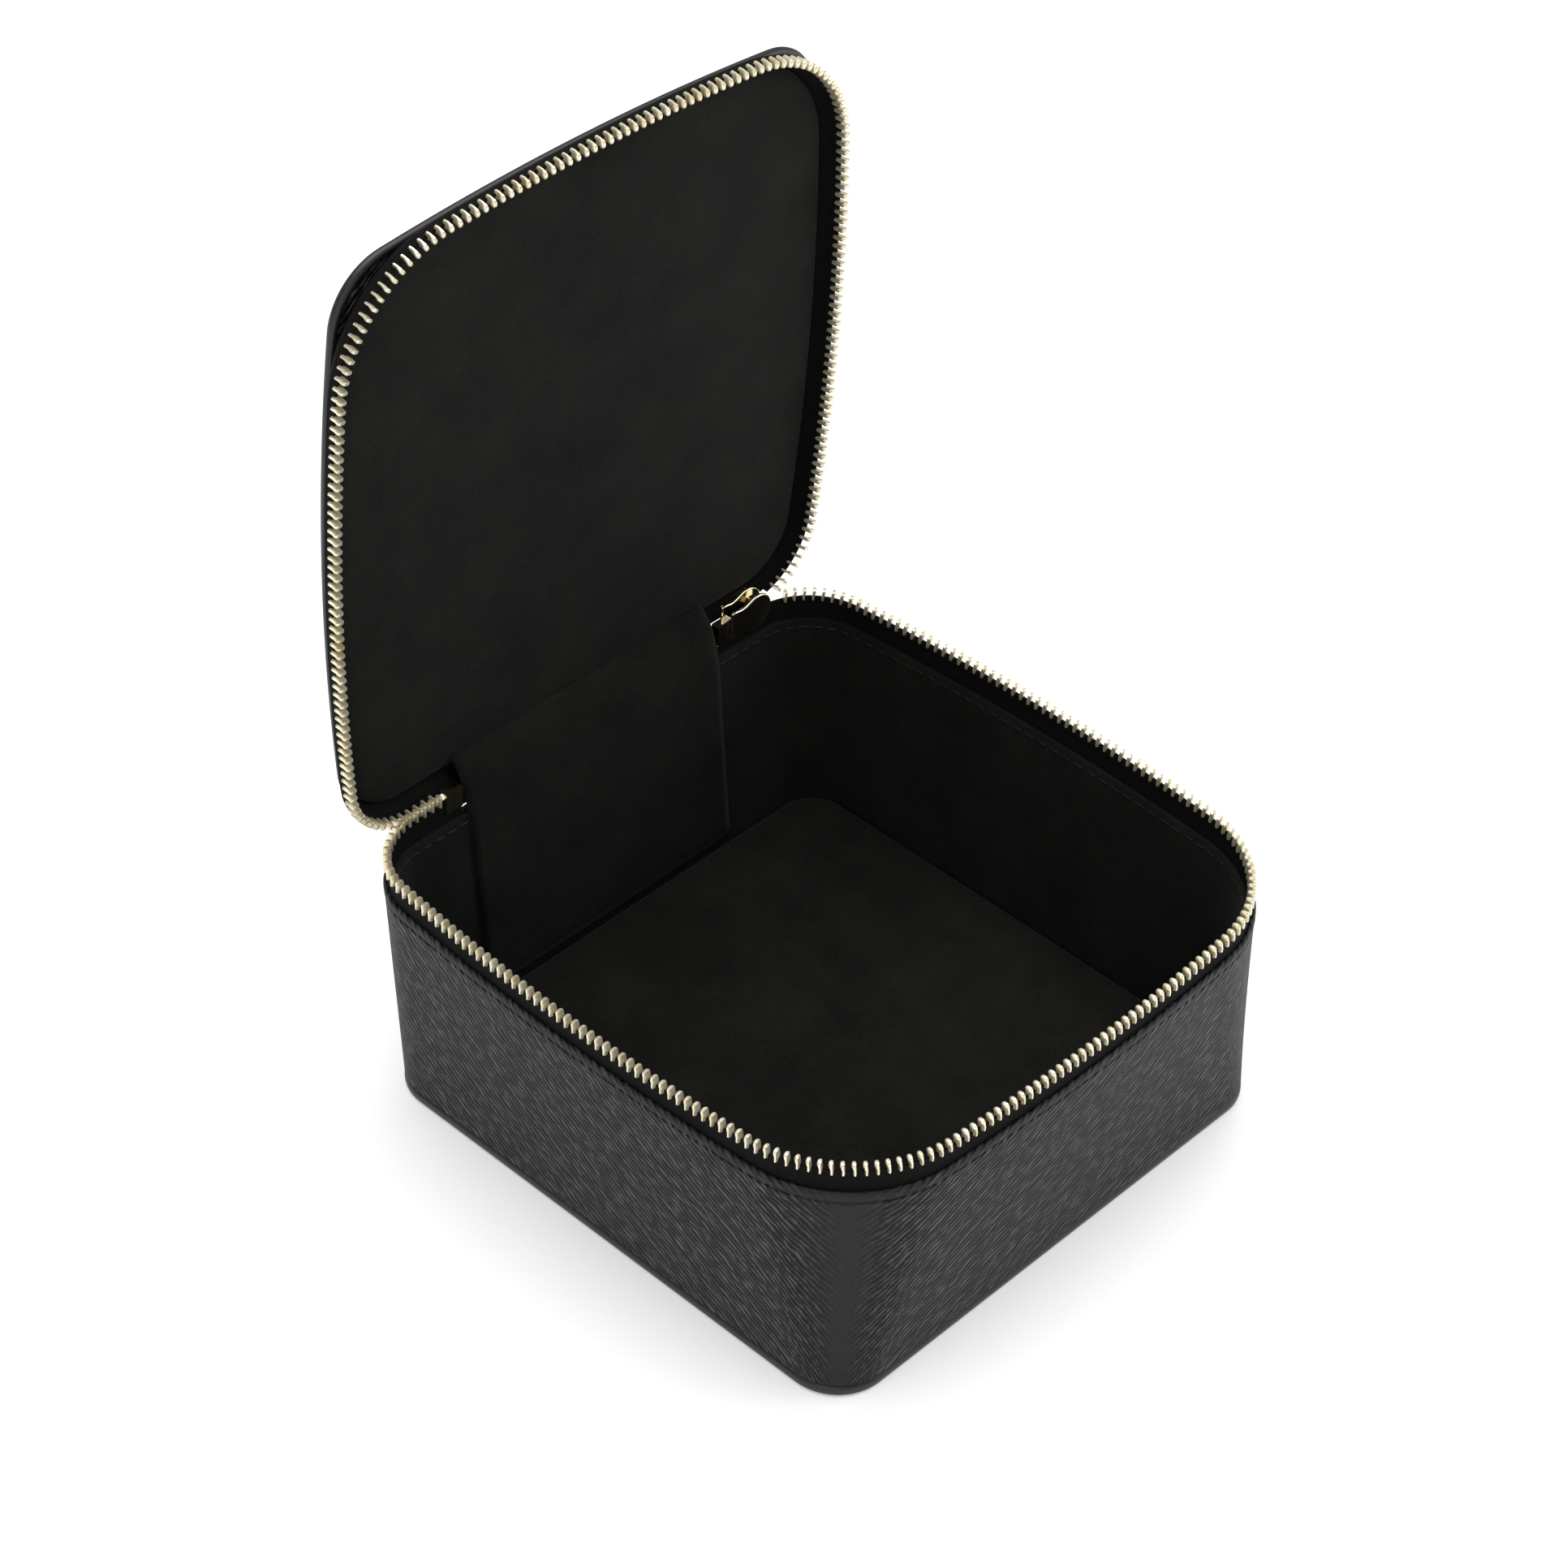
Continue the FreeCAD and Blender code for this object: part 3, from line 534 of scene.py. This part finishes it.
def bottomCover(look):
    # leather-wrapped bottom: a slab with its corners and rims rounded
    low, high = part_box("bottom_cover")
    middle = (low + high) / 2
    bpy.ops.object.select_all(action="DESELECT")
    bpy.ops.mesh.primitive_cube_add(size=1, location=middle, scale=high - low)
    slab = bpy.context.object
    bpy.ops.object.transform_apply(location=True, rotation=True, scale=True)
    slab.name = "bottom_leather"
    bpy.ops.object.mode_set(mode="EDIT")
    bpy.ops.mesh.select_mode(type="EDGE")
    bpy.ops.mesh.select_all(action="DESELECT")
    bpy.ops.object.mode_set(mode="OBJECT")
    for edge in slab.data.edges:
        ends = [slab.data.vertices[i].co for i in edge.vertices]
        edge.select = abs(ends[0].z - ends[1].z) > look["tell"]
    bpy.ops.object.mode_set(mode="EDIT")
    bpy.ops.mesh.bevel(offset=look["corner"], segments=14, affect="EDGES")
    bpy.ops.object.mode_set(mode="OBJECT")
    rounding = slab.modifiers.new("rim", "BEVEL")
    rounding.width = look["rim"]
    rounding.segments = 5
    rounding.limit_method = "ANGLE"
    rounding.angle_limit = roundAngle
    bpy.ops.object.modifier_apply(modifier="rim")
    bpy.ops.object.shade_smooth_by_angle(angle=softAngle)
    return slab


bottom = bottomCover({"corner": 12.7 * mm, "rim": 1.15 * mm, "tell": 1 * mm})
dress(bottom, plainLeather, "base", "smooth_leather", "bottom_cover")
print("base ready")


# zip: tapes, teeth, stitches

zipLook = {"pitch": 2.33 * mm, "start": 46.9 * mm, "end": 60.4 * mm, "lean": -0.21 * mm, "bevel": 0.5,
           "tapeHalf": 0.33 * mm, "tapeLow": 52.9 * mm, "stopInner": 40.5 * mm, "edge": 1.12 * mm, "lidEdge": 1.28 * mm}
toothRings = [  # height, half across the tape, half along the chain, lean along the chain, hollow on one side
    (-1.9, 0.78, 0.28, 0.0, 0.0), (-1.7, 1.0, 0.37, 0.0, 0.0),
    (-0.65, 1.03, 0.37, 0.0, 0.0), (-0.35, 0.98, 0.38, 0.2, 0.0),
    (0.0, 0.96, 0.5, 0.65, 0.06), (0.45, 0.93, 0.56, 1.0, 0.26),
    (0.85, 0.85, 0.52, 1.0, 0.14), (1.05, 0.6, 0.36, 0.95, 0.0),
]


def toothShape(side):
    # legs clamped over the tape's edge and a round head, nibbed on one side and hollow on the other
    points, faces = [], []
    bevel = zipLook["bevel"]
    corners = ((-1, -bevel), (-bevel, -1), (bevel, -1), (1, -bevel),
               (1, bevel), (bevel, 1), (-bevel, 1), (-1, bevel))
    for level, across, along, lean, hollow in toothRings:
        for ca, cx in corners:
            inward = hollow if ca == 1 else 0.0
            forward = (ca * along - inward) * mm + lean * zipLook["lean"]
            points.append((forward, cx * across * mm, side * level * mm))
    around = len(corners)
    for ring in range(len(toothRings) - 1):
        for k in range(around):
            over = (k + 1) % around
            faces.append((ring * around + k, ring * around + over,
                          (ring + 1) * around + over, (ring + 1) * around + k))
    faces.append(tuple(reversed(range(around))))
    faces.append(tuple(len(points) - around + k for k in range(around)))
    return points, faces


def placeOnRim(shape, distance, level):
    number, share = locate(distance)
    spot, out = runPoint(rimRuns[number], share)
    turn = math.atan2(out.x, -out.y)  # tangent direction, counter-clockwise
    c, s = math.cos(turn), math.sin(turn)
    points = [(spot.x + x * c - y * s, spot.y + x * s + y * c, level + z) for x, y, z in shape[0]]
    return points, shape[1]


def teethRow(name, side, first):
    shapes = []
    distance = zipLook["start"] + first
    while distance <= rimTotal - zipLook["end"]:
        shapes.append(placeOnRim(toothShape(side), distance, hingeZ))
        distance += zipLook["pitch"]
    return joinCopies(name, shapes)


baseTeeth = teethRow("base_teeth", 1, 0.0)
dress(baseTeeth, toothGold, "base", "gold", "base_zip_teeth")
lidTeeth = teethRow("lid_teeth", -1, zipLook["pitch"] / 2)
lidTeeth.data.transform(openTurn)
dress(lidTeeth, toothGold, "lid", "gold", "lid_zip_teeth")


def tapeSection(spine):
    # both faces of the tape along a spine of (level, outset)
    half = zipLook["tapeHalf"]
    return [(level, out + half) for level, out in spine] + [(level, out - half) for level, out in reversed(spine)]


lidLook = {"flare": 2.6 * mm, "tapeFrom": 3.3 * mm, "rise": 6.2 * mm, "face": 4.15 * mm, "board": 5.2 * mm,
           "inset": 3.3 * mm, "crown": 0.3 * mm, "curl": 0.55 * mm, "ripple": 0.22 * mm, "thick": 2.4 * mm,
           "cornerFront": 16.0 * mm, "cornerRear": 14.0 * mm, "fill": 0.95}
tapeRise = hingeZ - zipLook["edge"] - zipLook["tapeLow"]
baseSpine = [(zipLook["tapeLow"] + tapeRise * k / 6, 0.0) for k in range(7)]
lidSpine = [(hingeZ + zipLook["lidEdge"], 0.0), (hingeZ + lidLook["tapeFrom"], 0.0), (hingeZ + 4.2 * mm, -0.6 * mm),
            (hingeZ + 5.2 * mm, -1.6 * mm), (hingeZ + lidLook["rise"] - 0.05 * mm, -lidLook["flare"])]
baseStations = rimStations(zipLook["stopInner"], rimTotal - zipLook["stopInner"], sweepStep)
baseTape = sweepBand("base_tape", tapeSection(baseSpine), baseStations, closedRing=False)
dress(baseTape, zipTape, "base", "zip_tape", "base_zip_tape")
lidTapeEnd = zipLook["end"] - zipLook["pitch"] / 2
lidStations = rimStations(zipLook["stopInner"], rimTotal - lidTapeEnd, sweepStep)
lidTape = sweepBand("lid_tape", tapeSection(lidSpine), lidStations, closedRing=False, upright=True)
lidTape.data.transform(openTurn)
dress(lidTape, zipTape, "lid", "zip_tape", "lid_zip_tape")

tailLook = {"from": 2.6 * mm, "overlap": 0.5 * mm, "bailNear": 46.8 * mm, "bailFar": 55.8 * mm}
tailSpine = [(hingeZ + tailLook["from"], 0.0)] + lidSpine[1:]
notchSection = [(hingeZ + level * mm, outset * mm) for level, outset in (
    (5.08, -0.1), (5.32, -0.1), (5.32, -1.3), (6.15, -2.3), (6.15, -2.9), (5.08, -1.8))]
tailParts = (  # the tape's end beside the slider, folded back where the bail stands
    ("lid_tape_tail", tapeSection(tailSpine), lidTapeEnd + tailLook["overlap"], tailLook["bailFar"]),
    ("lid_tape_notch", notchSection, tailLook["bailFar"], tailLook["bailNear"]),
    ("lid_tape_end", tapeSection(tailSpine), tailLook["bailNear"], zipLook["stopInner"]))
for name, section, tailFrom, tailTo in tailParts:
    tailStations = rimStations(rimTotal - tailFrom, rimTotal - tailTo, sweepStep)
    tail = sweepBand(name, section, tailStations, closedRing=False, upright=True)
    tail.data.transform(openTurn)
    dress(tail, zipTape, "lid", "zip_tape")

stitchLook = {"pitch": 3.7 * mm, "length": 2.9 * mm, "half": 0.2 * mm, "sides": 6, "liningDrop": 2.0 * mm}
stitchRings = (  # place, lift and girth, as shares of half the length and half the thickness
    (-1, -0.9, 0.45), (-0.7, 0.1, 0.9), (0, 0.35, 1.0), (0.7, 0.1, 0.9), (1, -0.9, 0.45))


def stitchShape():
    # a short thread, thick in the middle, dipping into the leather at both ends
    length, half = stitchLook["length"] / 2, stitchLook["half"]
    points, faces = [], []
    sides = stitchLook["sides"]
    last = len(stitchRings) - 1
    for place, lift, girth in stitchRings:
        for k in range(sides):
            angle = 2 * math.pi * k / sides
            points.append((place * length, -half * (lift + girth * math.cos(angle)), half * girth * math.sin(angle)))
    for ring in range(last):
        for k in range(sides):
            over = (k + 1) % sides
            faces.append((ring * sides + k, ring * sides + over,
                          (ring + 1) * sides + over, (ring + 1) * sides + k))
    faces += [tuple(range(sides)), tuple(last * sides + k for k in range(sides))]
    return points, faces


def stitchRow(name, level, outset, facing=1):
    runs = outlineSegments(level, outset)
    shapes = []
    count = round(rimTotal / stitchLook["pitch"])
    for k in range(count):
        number, share = locate(k * rimTotal / count)
        spot, out = runPoint(runs[number], share)
        turn = math.atan2(out.x, -out.y)
        c, s = math.cos(turn), math.sin(turn)
        spots, sides = stitchShape()
        placed = [(spot.x + x * c - facing * y * s, spot.y + x * s + facing * y * c, level + z) for x, y, z in spots]
        shapes.append((placed, sides))
    return joinCopies(name, shapes)


wallStitches = stitchRow("wall_stitches", caseShape["wallTop"] - wallLook["stitchDrop"],
                         wallLook["out"] - wallLook["groove"])
dress(wallStitches, thread, "base", "smooth_leather")
liningStitches = stitchRow("lining_stitches", liningLook["top"] - stitchLook["liningDrop"],
                           liningLook["inside"], facing=-1)
dress(liningStitches, thread, "base", "smooth_leather")
print("zip and stitches ready")


# lid: suede panel inside, grained leather outside, a smooth rolled edge between

def lidPanelHeight(x, y, share):
    edge = (1 - share) * caseShape["rimWidth"] / 2
    curl = lidLook["curl"] * max(0.0, 1 - edge / (2.0 * mm)) ** 2
    ripple = lidLook["ripple"] * math.sin(x * 58 + 0.4) * math.sin(y * 47 + 1.3)
    crown = lidLook["crown"] * (1 - share ** 3)
    return hingeZ + lidLook["face"] + curl - crown + ripple * min(1.0, edge / (8 * mm))


lidOutline = ringPoints(hingeZ, -lidLook["inset"], upright=True)
lidPanel = panelPiece("lid_suede_panel", lidOutline, panelShares, lidPanelHeight, hingeZ + lidLook["board"])
lidPanel.data.transform(openTurn)
dress(lidPanel, liningSuede, "lid", "suede", "lid_lining")


def coverRing(level, outset):
    more = outset + lidLook["flare"]
    corners = (lidLook["cornerFront"] + more, lidLook["cornerRear"] + more)
    return ringPoints(hingeZ + level, outset, upright=True, corners=corners)


def rolledEdge(name, section):
    # a closed round section carried round the lid's edge
    rings = [coverRing(level, outset) for level, outset in section]
    count = len(rings[0])
    points = [(p.x, p.y, hingeZ + level) for ring, (level, _) in zip(rings, section) for p in ring]
    faces = []
    for k in range(len(section)):
        over = (k + 1) % len(section)
        for i in range(count):
            j = (i + 1) % count
            faces.append((k * count + i, k * count + j, over * count + j, over * count + i))
    return meshPiece(name, points, faces)


beadLook = {"centre": 1.25 * mm, "radius": 1.2 * mm, "sides": 14}
beadSection = []
for k in range(beadLook["sides"]):
    angle = 2 * math.pi * k / beadLook["sides"]
    beadSection.append((lidLook["rise"] + beadLook["centre"] + beadLook["radius"] * math.sin(angle),
                        -lidLook["flare"] - beadLook["radius"] * (1 - math.cos(angle))))
lidBead = rolledEdge("lid_rolled_edge", beadSection)
lidBead.data.transform(openTurn)
dress(lidBead, plainLeather, "lid", "smooth_leather")


def coverHeight(x, y, share):
    edge = (1 - share) * caseShape["rimWidth"] / 2
    drop = 0.25 * mm * max(0.0, 1 - edge / (1.5 * mm)) ** 2
    return hingeZ + lidLook["rise"] + lidLook["thick"] - drop


coverOutline = coverRing(lidLook["rise"], -lidLook["flare"] - 1.0 * mm)
lidCover = panelPiece("lid_cover_leather", coverOutline, panelShares, coverHeight,
                      hingeZ + lidLook["rise"] + 0.1 * mm)
lidCover.data.transform(openTurn)
dress(lidCover, lidGrainSheen, "lid", "grain_leather", "lid_cover")


# hinge: suede inside and leather outside, both laid in a bend from the base up to the opened lid

hingeLook = {
    "half": 39.4 * mm, "outerHalf": 43.0 * mm, "columns": 40, "suedeThick": 0.8 * mm, "leatherThick": 1.0 * mm,
    "flapFoot": 8.2 * mm, "flapTop": 57.6 * mm, "flapRows": 16, "flapInset": 1.65 * mm, "puff": 2.2 * mm,
    "foldIn": 6.0 * mm, "foldRise": 3.95 * mm, "leatherLift": 0.9 * mm, "leatherOut": 0.85 * mm,
    "coverIn": 2.1 * mm, "coverRise": 7.4 * mm, "leatherRows": 12, "sag": 2.0 * mm,
}


def opened(fromHinge, rise):
    spot = openTurn @ Vector((0, hingeY - fromHinge, hingeZ + rise))
    return Vector((spot.y, spot.z))


def backWall(level, outset):
    share = (level - caseShape["footLevel"]) / (hingeZ - caseShape["footLevel"])
    half = (caseShape["footDepth"] + (caseShape["rimDepth"] - caseShape["footDepth"]) * share) / 2
    return Vector((half + outset, level))


def hingeStrip(name, route, half, thick, wrinkle):
    # a strip along the route (y, z), with creases that fade at both ends
    points, faces, uvs = [], [], []
    columns = hingeLook["columns"]
    for row, spot in enumerate(route):
        for k in range(columns + 1):
            x = -half + 2 * half * k / columns
            crease = wrinkle[row] * (math.sin(x * 190 + row * 0.7) + 0.6 * math.sin(x * 330 + row * 1.3 + 1))
            points.append((x, spot.x - crease, spot.y + crease * 0.6))
            uvs.append((x * uvScale, row))
    for row in range(len(route) - 1):
        for k in range(columns):
            here = row * (columns + 1) + k
            faces.append((here, here + 1, here + columns + 2, here + columns + 1))
    strip = meshPiece(name, points, faces, uvs)
    bpy.context.view_layer.objects.active = strip
    skin = strip.modifiers.new("thick", "SOLIDIFY")
    skin.thickness = thick
    skin.offset = 0
    bpy.ops.object.modifier_apply(modifier="thick")
    return strip


flapFoot = backWall(hingeLook["flapFoot"], -hingeLook["flapInset"])
flapTop = backWall(hingeLook["flapTop"], -hingeLook["flapInset"])
foldTop = opened(hingeLook["foldIn"], hingeLook["foldRise"])
flapRows = hingeLook["flapRows"]
suedeRoute = [flapFoot.lerp(flapTop, k / flapRows) for k in range(flapRows + 1)]
foldOut = Vector((-0.62, 0.78))
for share, lift in ((0.18, 0.30), (0.36, 0.42), (0.55, 0.45), (0.75, 0.33), (0.9, 0.15)):
    suedeRoute.append(flapTop.lerp(foldTop, share) + foldOut * lift * hingeLook["puff"])
suedeRoute.append(foldTop)
creases = [0.0] * (flapRows - 1) + [depth * mm for depth in (0.06, 0.14, 0.2, 0.24, 0.22, 0.16, 0.08, 0.0)]
hingeSuede = hingeStrip("hinge_suede", suedeRoute, hingeLook["half"], hingeLook["suedeThick"], creases)
dress(hingeSuede, liningSuede, "base", "suede", "hinge_flap", "hinge_fold",
      blendTo=("lid", (0, flapTop.x, flapTop.y), (0, foldTop.x, foldTop.y)))

leatherFrom = backWall(caseShape["wallTop"] + hingeLook["leatherLift"], hingeLook["leatherOut"])
leatherTo = opened(hingeLook["coverIn"], hingeLook["coverRise"])
leatherRows = hingeLook["leatherRows"]
leatherOut = Vector((0.25, -0.97))
leatherRoute = []
for k in range(leatherRows + 1):
    share = k / leatherRows
    spot = leatherFrom.lerp(leatherTo, share)
    leatherRoute.append(spot + leatherOut * hingeLook["sag"] * math.sin(math.pi * share))
outerHinge = hingeStrip("hinge_leather_strip", leatherRoute, hingeLook["outerHalf"], hingeLook["leatherThick"],
                        [0.0] * (leatherRows + 1))
dress(outerHinge, plainLeather, "base", "smooth_leather", "hinge_leather",
      blendTo=("lid", (0, leatherFrom.x, leatherFrom.y), (0, leatherTo.x, leatherTo.y)))
print("lid and hinge ready")


# slider: two plates with round lobes and rolled edges

sliderLook = {"from": 44.2 * mm, "thick": 0.9 * mm, "edge": 0.36 * mm, "set": 1.7 * mm}
sliderHalves = [  # along the plate and half its height, in mm
    (0.0, 3.5), (0.25, 3.78), (1.6, 3.72), (3.2, 3.45), (4.6, 3.5), (5.8, 3.95), (7.0, 4.5),
    (8.2, 4.7), (9.4, 4.62), (10.5, 4.25), (11.5, 3.6), (12.3, 2.7), (12.8, 1.6), (13.0, 0.5),
]


def sliderPlate(name, y, replaced):
    # the shield outline in the plane of the back, given its thickness and rounded edges
    loop = sliderHalves + [(u, -half) for u, half in reversed(sliderHalves)]
    count = len(loop)
    points = []
    for depth in (y - sliderLook["thick"] / 2, y + sliderLook["thick"] / 2):
        points += [(sliderLook["from"] + u * mm, depth, hingeZ + v * mm) for u, v in loop]
    faces = [tuple(range(count)), tuple(count + k for k in reversed(range(count)))]
    faces += [(k, (k + 1) % count, count + (k + 1) % count, count + k) for k in range(count)]
    piece = meshPiece(name, points, faces, smooth=False)
    bpy.context.view_layer.objects.active = piece
    rounding = piece.modifiers.new("edge", "BEVEL")
    rounding.width = sliderLook["edge"]
    rounding.segments = 4
    rounding.limit_method = "ANGLE"
    rounding.angle_limit = roundAngle
    bpy.ops.object.modifier_apply(modifier="edge")
    piece.select_set(True)
    bpy.ops.object.shade_smooth_by_angle(angle=math.radians(35))
    return dress(piece, sliderGold, "slider", "gold", replaced)


sliderPlate("slider_inner_shield", hingeY - sliderLook["set"], "slider_plate_inner")
sliderPlate("slider_outer_shield", hingeY + sliderLook["set"], "slider_plate_outer")
print("slider ready")


# finishes on the solids that show as they are

goldNodes = ("zip_stop_left", "zip_stop_right", "slider_post", "slider_bail", "zip_pull")
boardNodes = ("lid_board", "bottom_board", "wall_board_front", "wall_board_back", "wall_board_left", "wall_board_right")
for names, finish in ((goldNodes, sliderGold), (boardNodes, plainLeather)):
    for name in names:
        nodes[name].data.materials.clear()
        nodes[name].data.materials.append(finish)


# stage, light and camera

def studio(look):
    bpy.ops.object.select_all(action="DESELECT")
    bpy.ops.mesh.primitive_plane_add(size=look["floorSize"], location=(0, 0, 0))
    floor = bpy.context.object
    floor.name = "studio_floor"
    material, tree, shader = newMaterial("studioWhite", (0.9, 0.9, 0.9), 0.8)
    path = tree.nodes.new("ShaderNodeLightPath")
    seen = calc(tree, "MAXIMUM", path.outputs["Is Camera Ray"], path.outputs["Is Glossy Ray"])
    seen = calc(tree, "MAXIMUM", seen, path.outputs["Is Transmission Ray"])
    tree.links.new(calc(tree, "MULTIPLY", seen, look["floorLift"]), shader.inputs["Emission Strength"])
    shader.inputs["Emission Color"].default_value = (1, 1, 1, 1)
    floor.data.materials.append(material)
    for name, place, size, power, target in look["lamps"]:
        lamp = bpy.data.lights.new(name, "AREA")
        lamp.energy = power
        lamp.size = size
        holder = bpy.data.objects.new(name, lamp)
        holder.location = place
        holder.rotation_euler = (Vector(target) - Vector(place)).to_track_quat("-Z", "Y").to_euler()
        bpy.context.scene.collection.objects.link(holder)
    world = bpy.data.worlds.new("studioWorld")
    bpy.context.scene.world = world
    world.use_nodes = True
    backdrop = world.node_tree.nodes["Background"]
    backdrop.inputs["Color"].default_value = (1, 1, 1, 1)
    backdrop.inputs["Strength"].default_value = look["world"]


studio({
    "floorSize": 8.0, "floorLift": 0.26, "world": 0.5,
    "lamps": [("topSoft", (0.1, 0.2, 1.3), 1.2, 14.0, (0, 0, 0)),
              ("leftSoft", (-1.0, -0.5, 0.6), 0.9, 2.5, (0, 0, 0.05)),
              ("rightSoft", (1.0, -0.7, 0.55), 0.8, 4.9, (0, 0, 0.05))],
})


def photoCamera(look):
    turn, tilt, roll = (math.radians(look[k]) for k in ("turn", "tilt", "roll"))
    back = Vector((math.sin(turn) * math.cos(tilt), -math.cos(turn) * math.cos(tilt), math.sin(tilt)))
    right = Vector((math.cos(turn), math.sin(turn), 0))
    up = back.cross(right)
    right, up = right * math.cos(roll) + up * math.sin(roll), up * math.cos(roll) - right * math.sin(roll)
    place = back * look["distance"] + right * look["aside"] + up * look["above"] + Vector((0, 0, look["aim"]))
    camera = bpy.data.cameras.new("photoCamera")
    camera.sensor_width = look["sensor"]
    camera.lens = look["sensor"] * look["focal"] / look["imageHeight"]
    holder = bpy.data.objects.new("photoCamera", camera)
    holder.matrix_world = Matrix.Translation(place) @ Matrix((right, up, back)).transposed().to_4x4()
    bpy.context.scene.collection.objects.link(holder)
    bpy.context.scene.camera = holder


photoCamera({"turn": -47.5, "tilt": 40.4, "roll": 2.2, "distance": 0.9385, "aside": -0.0109, "above": 0.0222,
             "aim": 0.06, "sensor": 36.0, "focal": 5265.8, "imageHeight": 1932})
bpy.context.scene.view_settings.view_transform = "Standard"
print("stage ready")
